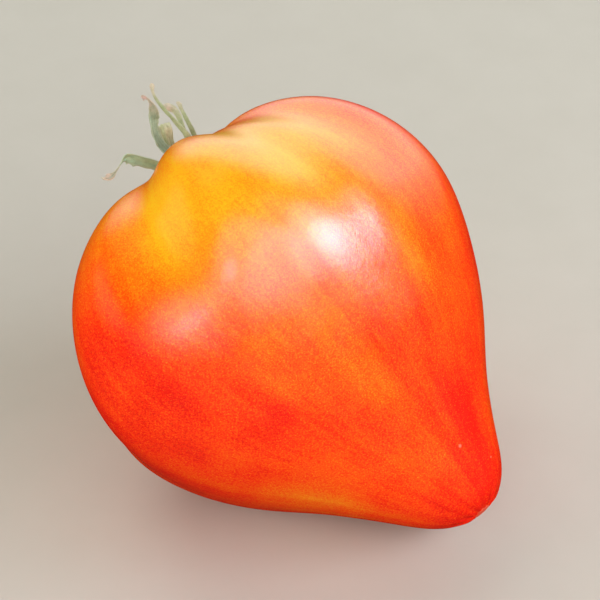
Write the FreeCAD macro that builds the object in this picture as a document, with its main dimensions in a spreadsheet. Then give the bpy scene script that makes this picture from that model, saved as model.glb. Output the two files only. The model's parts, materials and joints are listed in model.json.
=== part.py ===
import FreeCAD, Part
import math
import os
import Sketcher

# A ripe heart-shaped tomato lying on its side, with its dried calyx.
# Millimetres and degrees. The fruit's own frame has +X from the stem scar to the
# nose and +Z away from the ground side. resting_pose() turns it nose down and
# puts the middle of the flat that it lies on at the origin, with +Z up.

vec = FreeCAD.Vector

SIZES = [
    # how the fruit lies
    ("tilt", 25.5, "nose-down angle of the fruit's axis"),
    ("settle", 1.5, "height lost where the ripe fruit flattens under its weight"),
    # rings of the outer surface: distance from the stem scar along the axis, and radius
    ("floor_at", 0.0, "floor of the stem hollow"),
    ("floor_core", 2.0, "radius where the hollow's floor begins"),
    ("floor_edge", 6.0, "radius where the hollow's floor ends"),
    ("wall_at", -3.0, "wall of the hollow"),
    ("wall_radius", 9.5, "wall of the hollow"),
    ("rim_at", -5.0, "rim of the hollow"),
    ("rim_radius", 12.0, "rim of the hollow"),
    ("crest_at", -5.5, "crest of the shoulder lobes"),
    ("crest_radius", 22.0, "crest of the shoulder lobes"),
    ("shoulder_at", 1.5, "outside of the shoulder"),
    ("shoulder_radius", 36.0, "outside of the shoulder"),
    ("breast_at", 15.0, "between shoulder and belly"),
    ("breast_radius", 46.0, "between shoulder and belly"),
    ("belly_at", 31.0, "widest part"),
    ("belly_radius", 48.8, "widest part"),
    ("waist_at", 46.0, "where the cone begins"),
    ("waist_radius", 42.0, "where the cone begins"),
    ("cone_at", 58.0, "cone"),
    ("cone_radius", 33.8, "cone"),
    ("taper_at", 68.0, "slimmer end of the cone"),
    ("taper_radius", 23.8, "slimmer end of the cone"),
    ("neck_at", 79.0, "neck behind the nose"),
    ("neck_radius", 15.6, "neck behind the nose"),
    ("nose_at", 90.5, "end of the nose"),
    ("nose_radius", 7.8, "roundness of the nose"),
    ("nose_core", 1.2, "radius where the nose's end face begins"),
    # how far the fruit is from straight and round
    ("nose_side", 11.0, "sideways bend of the nose"),
    ("nose_droop", 6.0, "bend of the nose towards the ground"),
    ("stem_side", 3.5, "sideways offset of the stem scar"),
    ("stem_rise", 12.0, "offset of the stem scar away from the ground"),
    ("oval", 0.02, "share by which the fruit is wider than it is high"),
    # furrows between the lobes: place around the axis, depth as a share of the radius
    ("furrow_1_angle", 0.5, "furrow beside the top lobe"),
    ("furrow_1_depth", 0.24, "furrow beside the top lobe"),
    ("furrow_2_angle", 25.0, "short furrow of the top lobe"),
    ("furrow_2_depth", 0.24, "short furrow of the top lobe"),
    ("furrow_3_angle", 90.0, "far side furrow"),
    ("furrow_3_depth", 0.14, "far side furrow"),
    ("furrow_4_angle", 138.0, "far lower furrow"),
    ("furrow_4_depth", 0.14, "far lower furrow"),
    ("furrow_5_angle", 198.0, "furrow beside the flat"),
    ("furrow_5_depth", 0.14, "furrow beside the flat"),
    ("furrow_6_angle", 241.0, "near lower furrow"),
    ("furrow_6_depth", 0.30, "near lower furrow"),
    ("furrow_7_angle", 309.5, "near upper furrow, the longest"),
    ("furrow_7_depth", 0.23, "near upper furrow, the longest"),
    ("furrow_width", 13.5, "half width of a furrow around the axis"),
    ("furrow_sink", 8.0, "how far a furrow pulls the crest back per unit of depth"),
    # peel and scars
    ("skin_thickness", 0.5, "peel"),
    ("scar_radius", 3.8, "corky scar at the stem"),
    ("scar_depth", 4.0, "depth of the scar's cork in the flesh"),
    ("scar_proud", 0.4, "height of the scar over the hollow's floor"),
    ("scar_rounding", 0.3, "edge of the scar"),
    ("blossom_radius", 2.0, "scar at the nose"),
    ("blossom_depth", 1.6, "depth of that scar in the flesh"),
    ("blossom_proud", 0.2, "height of that scar over the nose"),
    ("blossom_rounding", 0.15, "edge of that scar"),
    # core
    ("core_gap", 2.0, "flesh between the stem scar and the core"),
    ("core_length", 54.0, "core, along its own axis"),
    ("core_root", 5.0, "radius at the stem end"),
    ("core_end", 2.0, "radius at the nose end"),
    ("core_bow", 62.0, "radius of the core's bowed side"),
    # seed chambers, measured from the stem end of the core
    ("chamber_from", 12.0, "stem end"),
    ("chamber_to", 46.0, "nose end"),
    ("chamber_inner_from", 14.0, "inner radius at the stem end"),
    ("chamber_inner_to", 10.0, "inner radius at the nose end"),
    ("chamber_middle", 29.0, "where its outer side is farthest out"),
    ("wall_at_stem_end", 19.0, "from the breast's radius to the chamber's outer side"),
    ("wall_at_middle", 18.0, "from the belly's radius to the chamber's outer side"),
    ("wall_at_nose_end", 23.0, "from the waist's radius to the chamber's outer side"),
    ("chamber_inner_bow", 60.0, "radius of the inner side"),
    ("chamber_outer_bow", 30.0, "radius of each half of the outer side"),
    ("chamber_sweep", 42.0, "angle that a chamber takes around the core"),
    ("chamber_turn", 25.0, "angle of the first chamber"),
    ("chamber_rounding", 2.5, "edges of a chamber"),
    # seeds
    ("seed_length", 3.4, "seed"),
    ("seed_width", 2.4, "seed"),
    ("seed_thickness", 0.9, "seed"),
    ("seed_tip", 0.5, "radius of the seed's point"),
    ("seed_margin", 7.0, "from the chamber's stem end to its first seeds"),
    ("seed_pitch", 8.5, "between seeds along the chamber"),
    ("seed_lift", 5.0, "from the chamber's inner side to the middle of a seed"),
    ("seed_spread", 9.0, "angle of a seed from the middle of its chamber"),
    # calyx and stalk
    ("disc_radius", 4.0, "receptacle disc"),
    ("disc_thickness", 2.3, "receptacle disc"),
    ("disc_shoulder", 2.8, "radius of the disc's flat top"),
    ("disc_edge", 1.2, "height of the disc's edge"),
    ("stalk_lean", 25.0, "angle between the stalk and the fruit's axis"),
    ("stalk_turn", 40.0, "direction of that lean around the axis"),
    ("stalk_bite", 0.1, "depth of the whole foot in the disc, which the stalk is then cut to"),
    ("stalk_flare", 1.9, "radius of the stalk's foot"),
    ("stalk_flare_length", 4.0, "from the foot to where the stalk is slim"),
    ("stalk_radius", 1.2, "slim part of the stalk"),
    ("knuckle_from", 12.0, "where the stalk swells towards its knuckle"),
    ("knuckle_at", 14.5, "knuckle"),
    ("knuckle_radius", 1.6, "knuckle"),
    ("stalk_length", 16.0, "broken end of the stalk"),
    ("stalk_end", 1.1, "radius of the broken end"),
    ("groove_radius", 0.25, "grooves along the stalk"),
    # sepals
    ("sepal_gap", 0.15, "clearance between a sepal's root and the disc"),
    ("sepal_root_height", 0.7, "height of the root over the disc's underside"),
    ("sepal_root_width", 3.0, "width of the root"),
    ("sepal_thickness", 0.5, "dried sepal"),
    ("sepal_turn", -51.4, "angle of the first sepal"),
    ("sepal_spacing", 51.4, "angle from sepal to sepal"),
]

# Shares of the furrows' depth that a ring shows, and how far they pull it back.
RINGS = [
    # place, radius, lobe share, sink share, oval share
    ("floor_at", "floor_core", 0.0, 0.0, 0.0),
    ("floor_at", "floor_edge", 0.0, 0.0, 0.0),
    ("wall_at", "wall_radius", 0.4, 0.12, 1.0),
    ("rim_at", "rim_radius", 0.8, 0.62, 1.0),
    ("crest_at", "crest_radius", 1.0, 1.0, 1.0),
    ("shoulder_at", "shoulder_radius", 0.85, 0.38, 1.0),
    ("breast_at", "breast_radius", 0.5, 0.0, 1.0),
    ("belly_at", "belly_radius", 0.25, 0.0, 1.0),
    ("waist_at", "waist_radius", 0.12, 0.0, 1.0),
    ("cone_at", "cone_radius", 0.05, 0.0, 1.0),
    ("taper_at", "taper_radius", 0.0, 0.0, 0.6),
    ("neck_at", "neck_radius", 0.0, 0.0, 0.3),
    ("nose_at", "nose_radius", 0.0, 0.0, 0.0),
    ("nose_at", "nose_core", 0.0, 0.0, 0.0),
]
COLUMNS = 36
STEM_BEND = 0.45          # share of the length over which the stem end is offset
ROUNDING_SHARE = 0.45     # most of a chamber's thickness that its rounding may take
FURROWS = range(1, 8)
CHAMBERS = 6

# Each dried sepal's route from its root: along the stem axis, outwards and around,
# then its width there. The first point is the root itself.
SEPALS = [
    [(3.0, 0.5, 0.0, 2.8), (7.0, 2.0, -0.5, 2.4), (10.5, 4.5, -1.5, 2.2),
     (11.0, 6.5, -3.5, 1.6), (10.0, 8.5, -5.0, 1.2), (9.5, 12.0, -7.0, 0.8)],
    [(4.0, 0.5, 0.0, 2.4), (11.5, 2.0, 0.0, 2.2), (15.5, 3.5, 0.0, 1.6), (16.0, 8.0, 0.0, 0.8)],
    [(6.0, 4.5, -5.5, 2.4), (12.0, 4.5, -5.5, 2.0), (18.5, 5.0, -5.5, 1.4), (19.5, 6.5, -6.5, 0.8)],
    [(8.0, 3.0, -7.0, 1.8), (13.5, 3.5, -7.5, 1.2), (16.0, 4.0, -8.0, 0.7)],
    [(5.5, -0.5, -6.0, 2.6), (10.5, 0.0, -9.5, 2.4), (16.5, 1.0, -11.0, 1.8), (19.5, 0.0, -9.5, 1.0)],
    [(3.5, 3.0, 0.0, 2.8), (6.5, 4.0, 0.5, 2.0), (8.5, 3.0, 1.0, 1.0)],
    [(1.5, 2.0, 0.0, 2.6), (3.2, 3.0, -0.5, 1.8), (4.2, 2.6, -1.0, 1.0)],
]

doc = FreeCAD.newDocument("heart_tomato")


# ---------------------------------------------------------------- driving sizes

def make_sheet():
    sheet = doc.addObject("Spreadsheet::Sheet", "Sizes")
    for row, (alias, value, meaning) in enumerate(SIZES, start=1):
        sheet.set("A%d" % row, alias)
        sheet.set("B%d" % row, str(value))
        sheet.set("C%d" % row, meaning)
        sheet.setAlias("B%d" % row, alias)
    doc.recompute()
    return sheet


sheet = make_sheet()


def size(alias):
    return float(sheet.get(alias))


def bind(obj, prop, expression):
    obj.setExpression(prop, expression)


# ---------------------------------------------------------------- fruit surface

def furrow_depth(angle):
    """Depth of the furrows at an angle around the axis, as a share of the radius."""
    depth = 0.0
    for number in FURROWS:
        away = angle - size("furrow_%d_angle" % number)
        away = (away + 180.0) % 360.0 - 180.0
        depth += size("furrow_%d_depth" % number) * math.exp(-(away / size("furrow_width")) ** 2)
    return depth


def axis_offset(along):
    """Sideways and upward offset of the fruit's bent axis."""
    nose_share = (max(0.0, along) / size("nose_at")) ** 2
    stem_share = max(0.0, 1.0 - along / (STEM_BEND * size("nose_at")))
    side = size("nose_side") * nose_share - size("stem_side") * stem_share
    rise = size("stem_rise") * stem_share - size("nose_droop") * nose_share
    return side, rise


def inset_rings(inset):
    """The rings' places and radii, moved inwards square to the profile."""
    profile = [(size(place), size(radius)) for place, radius, _, _, _ in RINGS]
    moved = []
    for index, (along, radius) in enumerate(profile):
        before = profile[max(index - 1, 0)]
        after = profile[min(index + 1, len(profile) - 1)]
        run = after[0] - before[0]
        rise = after[1] - before[1]
        length = math.hypot(run, rise)
        moved.append((along + inset * rise / length, radius - inset * run / length))
    return moved


def ring_poles(index, along, radius):
    """Control points of one ring, around the bent axis."""
    _, _, lobe_share, sink_share, oval_share = RINGS[index]
    side, rise = axis_offset(size(RINGS[index][0]))
    poles = []
    for column in range(COLUMNS):
        angle = 360.0 * column / COLUMNS
        turn = math.radians(angle)
        depth = furrow_depth(angle)
        reach = radius * (1.0 - lobe_share * depth)
        reach *= 1.0 - size("oval") * oval_share * math.cos(2.0 * turn)
        back = along + size("furrow_sink") * sink_share * depth
        poles.append(vec(back, reach * math.sin(turn) + side, reach * math.cos(turn) + rise))
    return poles


def fruit_solid(inset):
    """Closed solid of the fruit, its surface moved inwards by inset."""
    rings = inset_rings(inset)
    rows = [ring_poles(index, along, radius) for index, (along, radius) in enumerate(rings)]
    poles = [[row[column] for row in rows] for column in range(COLUMNS)]
    spans = len(rows) - 3
    surface = Part.BSplineSurface()
    surface.buildFromPolesMultsKnots(
        poles,
        [1] * (COLUMNS + 1), [4] + [1] * (spans - 1) + [4],
        list(range(COLUMNS + 1)), list(range(spans + 1)),
        True, False, 3, 3)
    side = surface.toShape()
    ends = []
    for edge in side.Edges:
        if edge.isClosed():
            ends.append(Part.Face(Part.Wire([edge])))
    shell = Part.Shell([side] + ends)
    shell.sewShape()
    solid = Part.Solid(shell)
    if solid.Volume < 0:
        solid.reverse()
    return solid


# ---------------------------------------------------------------- frames

def resting_pose():
    """Nose down by the tilt, lowered so that the settled flat is centred on the origin."""
    turn = FreeCAD.Rotation(vec(0, 1, 0), size("tilt"))
    lying = fruit_solid(0.0)
    lying.Placement = FreeCAD.Placement(vec(0, 0, 0), turn)
    floor = lying.optimalBoundingBox(False).ZMin + size("settle")
    flat = lying.slice(vec(0, 0, 1), floor)[0]
    middle = Part.Face(flat).CenterOfMass
    return FreeCAD.Placement(vec(-middle.x, -middle.y, -floor), turn)


def stem_frame():
    """+X out along the stem axis from the scar's seat, +Z away from the ground side."""
    side, rise = axis_offset(size("floor_at"))
    return pose * FreeCAD.Placement(vec(size("floor_at"), side, rise), FreeCAD.Rotation(vec(0, 0, 1), 180))


def core_frame():
    """+X along the core, from its stem end towards the nose."""
    start_at = size("floor_at") + size("scar_depth") + size("core_gap")
    start = vec(start_at, *axis_offset(size("floor_at")))
    end_at = start_at + size("core_length")
    end = vec(end_at, *axis_offset(end_at))
    return pose * FreeCAD.Placement(start, FreeCAD.Rotation(vec(1, 0, 0), end - start))


def nose_frame():
    """+X out of the nose, from the middle of its end."""
    side, rise = axis_offset(size("nose_at"))
    return pose * FreeCAD.Placement(vec(size("nose_at"), side, rise), FreeCAD.Rotation())


def turned(frame, angle):
    return frame * FreeCAD.Placement(vec(0, 0, 0), FreeCAD.Rotation(vec(1, 0, 0), angle))


# ---------------------------------------------------------------- helpers

def solid_feature(name, shape, placement):
    feature = doc.addObject("Part::Feature", name)
    feature.Label = name
    feature.Shape = shape
    feature.Placement = placement
    return feature


def compound_of(name, members):
    group = doc.addObject("Part::Compound", name)
    group.Links = members
    return group


def cut(name, base, tool):
    feature = doc.addObject("Part::Cut", name)
    feature.Label = name
    feature.Base = base
    feature.Tool = tool
    return feature


def new_body(name, placement):
    body = doc.addObject("PartDesign::Body", name)
    body.Label = name
    body.Placement = placement
    return body


def new_sketch(body, name, plane_role):
    sketch = body.newObject("Sketcher::SketchObject", name)
    plane = [feature for feature in body.Origin.OriginFeatures if feature.Role == plane_role][0]
    sketch.AttachmentSupport = [(plane, "")]
    sketch.MapMode = "FlatFace"
    return sketch


def bowed_arc(first, last, radius):
    """Arc from first to last, counter-clockwise, with the given radius."""
    half = (last - first) * 0.5
    reach = math.sqrt(radius ** 2 - half.Length ** 2)
    across = vec(-half.y, half.x, 0).normalize() * reach
    centre = first + half + across
    begin = math.atan2(first.y - centre.y, first.x - centre.x)
    finish = math.atan2(last.y - centre.y, last.x - centre.x)
    return Part.ArcOfCircle(Part.Circle(centre, vec(0, 0, 1), radius), begin, finish)


def worked_out(difference):
    """Value of one size, or of one size less others, written as 'a' or 'a - b'."""
    first, *less = difference.split(" - ")
    return size(first) - sum(size(alias) for alias in less)


def formula(difference):
    """The same difference as an expression on the spreadsheet."""
    return " - ".join("Sizes.%s" % alias for alias in difference.split(" - "))


def measure(sketch, edge, end, difference, direction):
    """Tie one end of an edge to a size, measured from the origin; None means on the axis."""
    if difference is None:
        axis = -2 if direction == "DistanceX" else -1
        sketch.addConstraint(Sketcher.Constraint("PointOnObject", edge, end, axis))
        return
    distance = Sketcher.Constraint(direction, -1, 1, edge, end, worked_out(difference))
    number = sketch.addConstraint(distance)
    bind(sketch, "Constraints[%d]" % number, formula(difference))


def profile(sketch, corners, bows):
    """Closed outline through corners, each an (x, y) pair of sizes or differences of sizes.

    bows names the radius of an edge that bows away from the X axis, by edge number.
    """
    points = [vec(worked_out(x) if x else 0.0, worked_out(y) if y else 0.0, 0) for x, y in corners]
    count = len(points)
    for index in range(count):
        first = points[index]
        last = points[(index + 1) % count]
        if index not in bows:
            sketch.addGeometry(Part.LineSegment(first, last), False)
            continue
        leftwards = last.x < first.x
        arc = bowed_arc(first, last, size(bows[index])) if leftwards else bowed_arc(last, first, size(bows[index]))
        sketch.addGeometry(arc, False)
        number = sketch.addConstraint(Sketcher.Constraint("Radius", index, size(bows[index])))
        bind(sketch, "Constraints[%d]" % number, "Sizes.%s" % bows[index])
    for index in range(count):
        following = (index + 1) % count
        start_of_next = 2 if runs_backwards(points, following, bows) else 1
        end_of_this = 1 if runs_backwards(points, index, bows) else 2
        sketch.addConstraint(Sketcher.Constraint("Coincident", index, end_of_this, following, start_of_next))
        x, y = corners[following]
        measure(sketch, following, start_of_next, x, "DistanceX")
        measure(sketch, following, start_of_next, y, "DistanceY")


def runs_backwards(points, index, bows):
    """True where an arc had to be drawn against the outline's direction."""
    return index in bows and points[(index + 1) % len(points)].x > points[index].x


def revolve(body, name, sketch, angle=None):
    """Solid of revolution about the sketch's X axis, a full turn unless a size is named."""
    feature = body.newObject("PartDesign::Revolution", name)
    feature.Profile = sketch
    feature.ReferenceAxis = (sketch, ["H_Axis"])
    feature.Angle = 360.0
    if angle:
        feature.Midplane = True
        bind(feature, "Angle", "Sizes.%s" % angle)
    return feature


def round_edges(body, name, base, edges, radius):
    feature = body.newObject("PartDesign::Fillet", name)
    feature.Base = (base, edges)
    bind(feature, "Radius", radius)
    return feature


# ---------------------------------------------------------------- inner pieces

def make_core():
    """Solid white core that carries the seed chambers' walls."""
    body = new_body("core", core_frame())
    sketch = new_sketch(body, "core_profile", "XZ_Plane")
    profile(sketch,
            [(None, None), ("core_length", None), ("core_length", "core_end"), (None, "core_root")],
            {2: "core_bow"})
    revolve(body, "core_turn", sketch)
    return body


def make_chamber(number):
    """Space of one seed chamber: a wedge around the core with rounded edges."""
    angle = size("chamber_turn") + number * 360.0 / CHAMBERS
    body = new_body("chamber_%d" % (number + 1), turned(core_frame(), angle))
    sketch = new_sketch(body, "chamber_profile_%d" % (number + 1), "XZ_Plane")
    profile(sketch,
            [("chamber_from", "chamber_inner_from"), ("chamber_to", "chamber_inner_to"),
             ("chamber_to", "waist_radius - wall_at_nose_end"),
             ("chamber_middle", "belly_radius - wall_at_middle"),
             ("chamber_from", "breast_radius - wall_at_stem_end")],
            {0: "chamber_inner_bow", 2: "chamber_outer_bow", 3: "chamber_outer_bow"})
    wedge = revolve(body, "chamber_wedge_%d" % (number + 1), sketch, "chamber_sweep")
    doc.recompute()
    every_edge = ["Edge%d" % (index + 1) for index in range(len(wedge.Shape.Edges))]
    narrow_end = formula("waist_radius - wall_at_nose_end - chamber_inner_to")
    rounding = "min(Sizes.chamber_rounding; %g * (%s))" % (ROUNDING_SHARE, narrow_end)
    round_edges(body, "chamber_edges_%d" % (number + 1), wedge, every_edge, rounding)
    return body


def seed_shape():
    """One seed: a teardrop turned about its length and flattened, its point towards -Z."""
    broad = size("seed_width") / 2.0
    tip = size("seed_tip")
    apart = size("seed_length") - broad - tip
    lean = math.asin((broad - tip) / apart)
    top = vec(0, 0, apart / 2.0)
    bottom = vec(0, 0, -apart / 2.0)
    upwards = vec(0, 0, 1)
    side = vec(math.cos(lean), 0, -math.sin(lean))
    shoulder = (upwards + side).normalize()
    chin = (side - upwards).normalize()
    half = Part.Wire([
        Part.LineSegment(bottom - upwards * tip, top + upwards * broad).toShape(),
        Part.Arc(top + upwards * broad, top + shoulder * broad, top + side * broad).toShape(),
        Part.LineSegment(top + side * broad, bottom + side * tip).toShape(),
        Part.Arc(bottom + side * tip, bottom + chin * tip, bottom - upwards * tip).toShape(),
    ])
    round_seed = Part.Face(half).revolve(vec(0, 0, 0), vec(0, 0, 1), 360)
    flattening = FreeCAD.Matrix()
    flattening.scale(1.0, size("seed_thickness") / size("seed_width"), 1.0)
    return round_seed.transformGeometry(flattening)


def make_seeds(number):
    """The seeds of one chamber, in two rows along it, points towards the core."""
    angle = size("chamber_turn") + number * 360.0 / CHAMBERS
    span = size("chamber_to") - size("chamber_from")
    seeds = []
    for place in range(3):
        along = size("chamber_from") + size("seed_margin") + place * size("seed_pitch")
        share = (along - size("chamber_from")) / span
        inner = size("chamber_inner_from") + share * (size("chamber_inner_to") - size("chamber_inner_from"))
        for side in (-1, 1):
            seed = seed_shape()
            seed.rotate(vec(0, 0, 0), vec(0, 0, 1), 25.0 * side + 30.0 * place)
            seed.translate(vec(along + side, 0, inner + size("seed_lift")))
            seed.rotate(vec(0, 0, 0), vec(1, 0, 0), side * size("seed_spread"))
            seeds.append(seed)
    return solid_feature("seeds_%d" % (number + 1), Part.makeCompound(seeds), turned(core_frame(), angle))


# ---------------------------------------------------------------- scars

def make_scar(name, frame, radius, depth, proud, rounding):
    """Corky plug from inside the flesh to just above the peel."""
    body = new_body(name, frame * FreeCAD.Placement(vec(-size(depth), 0, 0), FreeCAD.Rotation()))
    sketch = new_sketch(body, name + "_outline", "YZ_Plane")
    sketch.addGeometry(Part.Circle(vec(0, 0, 0), vec(0, 0, 1), size(radius)), False)
    sketch.addConstraint(Sketcher.Constraint("Coincident", 0, 3, -1, 1))
    sketch.addConstraint(Sketcher.Constraint("Radius", 0, size(radius)))
    bind(sketch, "Constraints[1]", "Sizes.%s" % radius)
    plug = body.newObject("PartDesign::Pad", name + "_plug")
    plug.Profile = sketch
    bind(plug, "Length", "Sizes.%s + Sizes.%s" % (depth, proud))
    doc.recompute()
    height = size(depth) + size(proud)
    rim = ["Edge%d" % (index + 1) for index, edge in enumerate(plug.Shape.Edges)
           if edge.isClosed() and abs(edge.CenterOfMass.x - height) < 1e-6]
    round_edges(body, name + "_rim", plug, rim, "Sizes.%s" % rounding)
    return body


def hole_for_scar(name, frame, radius, depth):
    """Round opening through the peel, as wide as the scar in it."""
    hole = doc.addObject("Part::Cylinder", name)
    bind(hole, "Radius", "Sizes.%s" % radius)
    bind(hole, "Height", "2 * Sizes.%s" % depth)
    hole.Placement = frame * FreeCAD.Placement(vec(-size(depth), 0, 0), FreeCAD.Rotation(vec(0, 1, 0), 90))
    return hole


# ---------------------------------------------------------------- peel and flesh

def ground_block(name, lift):
    """Block of ground up to z = lift, wider than the fruit."""
    wide = 4.0 * size("belly_radius")
    block = doc.addObject("Part::Box", name)
    bind(block, "Length", "4 * Sizes.belly_radius")
    bind(block, "Width", "4 * Sizes.belly_radius")
    bind(block, "Height", "Sizes.belly_radius")
    block.Placement = FreeCAD.Placement(vec(-wide / 2.0, -wide / 2.0, lift - size("belly_radius")), FreeCAD.Rotation())
    return block


def make_flesh_and_skin(fillings, scars, holes):
    whole = solid_feature("whole_fruit", fruit_solid(0.0), pose)
    pulp = solid_feature("whole_pulp", fruit_solid(size("skin_thickness")), pose)
    settled = cut("settled_fruit", whole, ground_block("ground", 0.0))
    settled_pulp = cut("settled_pulp", pulp, ground_block("ground_under_pulp", size("skin_thickness")))
    skin = cut("skin", settled, compound_of("skin_openings", [settled_pulp] + holes))
    flesh = cut("flesh", settled_pulp, compound_of("flesh_openings", fillings + scars))
    return skin, flesh


# ---------------------------------------------------------------- calyx

def make_disc():
    """Receptacle disc that sits on the stem scar."""
    frame = stem_frame() * FreeCAD.Placement(vec(size("scar_proud"), 0, 0), FreeCAD.Rotation())
    body = new_body("calyx_disc", frame)
    sketch = new_sketch(body, "disc_profile", "XZ_Plane")
    profile(sketch,
            [(None, None), ("disc_thickness", None), ("disc_thickness", "disc_shoulder"),
             ("disc_edge", "disc_radius"), (None, "disc_radius")],
            {})
    revolve(body, "disc_turn", sketch)
    return body


def make_stalk(disc):
    """Dried stub of the fruit stalk, leaning, with a knuckle near its broken end."""
    lean = FreeCAD.Rotation(vec(0, 1, 0), -size("stalk_lean"))
    foot = vec(size("scar_proud") + size("disc_thickness"), 0, 0)
    frame = turned(stem_frame(), size("stalk_turn")) * FreeCAD.Placement(foot, lean)
    sink = size("stalk_bite") + size("stalk_flare") * math.tan(math.radians(size("stalk_lean")))
    frame = frame * FreeCAD.Placement(vec(-sink, 0, 0), FreeCAD.Rotation())
    body = new_body("stalk_form", frame)
    sketch = new_sketch(body, "stalk_profile", "XZ_Plane")
    profile(sketch,
            [(None, None), ("stalk_length", None), ("stalk_length", "stalk_end"),
             ("knuckle_at", "knuckle_radius"), ("knuckle_from", "stalk_radius"),
             ("stalk_flare_length", "stalk_radius"), (None, "stalk_flare")],
            {})
    revolve(body, "stalk_turned", sketch)
    groove = new_sketch(body, "stalk_groove", "YZ_Plane")
    groove.addGeometry(Part.Circle(vec(0, size("stalk_radius"), 0), vec(0, 0, 1), size("groove_radius")), False)
    groove.addConstraint(Sketcher.Constraint("PointOnObject", 0, 3, -2))
    groove.addConstraint(Sketcher.Constraint("Radius", 0, size("groove_radius")))
    bind(groove, "Constraints[1]", "Sizes.groove_radius")
    groove.addConstraint(Sketcher.Constraint("DistanceY", -1, 1, 0, 3, size("stalk_radius")))
    bind(groove, "Constraints[2]", "Sizes.stalk_radius")
    channel = body.newObject("PartDesign::Pocket", "stalk_channel")
    channel.Profile = groove
    channel.Type = "ThroughAll"
    channel.Midplane = True
    doc.recompute()
    ring = body.newObject("PartDesign::PolarPattern", "stalk_channels")
    ring.Originals = [channel]
    ring.Axis = (groove, ["N_Axis"])
    ring.Angle = 360.0
    ring.Occurrences = 6
    body.Tip = ring
    return cut("stalk", body, disc)


def sepal_root():
    """The root's height over the scar's seat and its distance from the stem axis."""
    height = size("scar_proud") + size("sepal_root_height")
    reach = size("disc_radius") + size("sepal_gap") + size("sepal_thickness") / 2.0
    return height, reach


def sepal_section(centre, heading, across, width):
    """Thin rectangle square to the sepal's route."""
    thick = heading.cross(across).normalize() * (size("sepal_thickness") / 2.0)
    half = across * (width / 2.0)
    corners = [centre + half + thick, centre - half + thick, centre - half - thick, centre + half - thick]
    return Part.makePolygon(corners + [corners[0]])


def make_sepal(number, route):
    """Dried ribbon that flexes about its root at the disc's edge."""
    height, reach = sepal_root()
    points = [vec(height, 0, reach)]
    widths = [size("sepal_root_width")]
    for along, outwards, around, width_there in route:
        points.append(vec(height + along, -around, reach + outwards))
        widths.append(width_there)
    sections = []
    for index, point in enumerate(points):
        before = points[max(index - 1, 0)]
        after = points[min(index + 1, len(points) - 1)]
        heading = after - before
        if index == 0:
            heading.y = 0.0
        heading.normalize()
        across = (vec(0, 1, 0) - heading * heading.y).normalize()
        sections.append(sepal_section(point, heading, across, widths[index]))
    ribbon = Part.makeLoft(sections, True, False)
    angle = size("sepal_turn") + number * size("sepal_spacing")
    return solid_feature("sepal_%d" % (number + 1), ribbon, turned(stem_frame(), angle))


# ---------------------------------------------------------------- assembly

pose = resting_pose()

core = make_core()
chambers = [make_chamber(number) for number in range(CHAMBERS)]
seeds = [make_seeds(number) for number in range(CHAMBERS)]
gels = [cut("gel_%d" % (number + 1), chambers[number], seeds[number]) for number in range(CHAMBERS)]
stem_scar = make_scar("stem_scar", stem_frame(), "scar_radius", "scar_depth", "scar_proud", "scar_rounding")
blossom_scar = make_scar(
    "blossom_scar", nose_frame(), "blossom_radius", "blossom_depth", "blossom_proud", "blossom_rounding")
holes = [
    hole_for_scar("stem_hole", stem_frame(), "scar_radius", "scar_depth"),
    hole_for_scar("blossom_hole", nose_frame(), "blossom_radius", "blossom_depth"),
]
skin, flesh = make_flesh_and_skin([core] + chambers, [stem_scar, blossom_scar], holes)
disc = make_disc()
stalk = make_stalk(disc)
sepals = [make_sepal(number, route) for number, route in enumerate(SEPALS)]

doc.recompute()

nodes = [skin, flesh, core] + gels + seeds + [stem_scar, blossom_scar, disc, stalk] + sepals

for feature in doc.Objects:
    if "Invalid" in feature.State or "Error" in feature.State:
        raise RuntimeError("%s did not build: %s" % (feature.Label, feature.State))
for node in nodes:
    if node.Shape.isNull() or not node.Shape.isValid():
        raise RuntimeError("%s has no valid shape" % node.Label)
    if not node.Shape.Solids:
        raise RuntimeError("%s has no solid" % node.Label)

os.makedirs("parts", exist_ok=True)
for node in nodes:
    node.Shape.exportStep("parts/%s.step" % node.Label)
    print("%-14s %2d solids %10.2f mm3" % (node.Label, len(node.Shape.Solids), node.Shape.Volume))
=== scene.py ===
import json
import math

import bmesh
import bpy
import numpy as np
from mathutils import Matrix, Quaternion, Vector, noise


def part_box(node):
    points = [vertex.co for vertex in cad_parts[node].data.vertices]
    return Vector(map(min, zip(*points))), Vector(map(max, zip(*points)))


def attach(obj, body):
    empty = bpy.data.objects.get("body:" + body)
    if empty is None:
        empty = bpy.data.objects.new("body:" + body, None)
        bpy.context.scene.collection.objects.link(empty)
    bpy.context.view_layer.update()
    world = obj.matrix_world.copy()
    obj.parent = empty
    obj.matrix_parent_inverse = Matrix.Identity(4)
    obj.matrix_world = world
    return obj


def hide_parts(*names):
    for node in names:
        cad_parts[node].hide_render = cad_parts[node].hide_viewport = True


# A ripe heart-shaped tomato lying on its side, with its dried calyx.
# Everything is in metres in the row frame. The fruit's own measures are in
# millimetres, with +X from the stem scar to the nose.

MM = 0.001

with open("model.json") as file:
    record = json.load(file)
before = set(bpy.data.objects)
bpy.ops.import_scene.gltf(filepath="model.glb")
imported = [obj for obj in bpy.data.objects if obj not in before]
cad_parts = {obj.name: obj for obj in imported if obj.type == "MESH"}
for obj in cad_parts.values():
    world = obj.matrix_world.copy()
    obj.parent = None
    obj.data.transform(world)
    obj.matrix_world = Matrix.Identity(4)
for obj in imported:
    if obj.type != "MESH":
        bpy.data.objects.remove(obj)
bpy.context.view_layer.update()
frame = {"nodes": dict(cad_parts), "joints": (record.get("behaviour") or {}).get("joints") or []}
nodes = frame["nodes"]
joints = {joint["name"]: joint for joint in frame["joints"]}


# ---------------------------------------------------------------- the fruit's place

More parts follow.
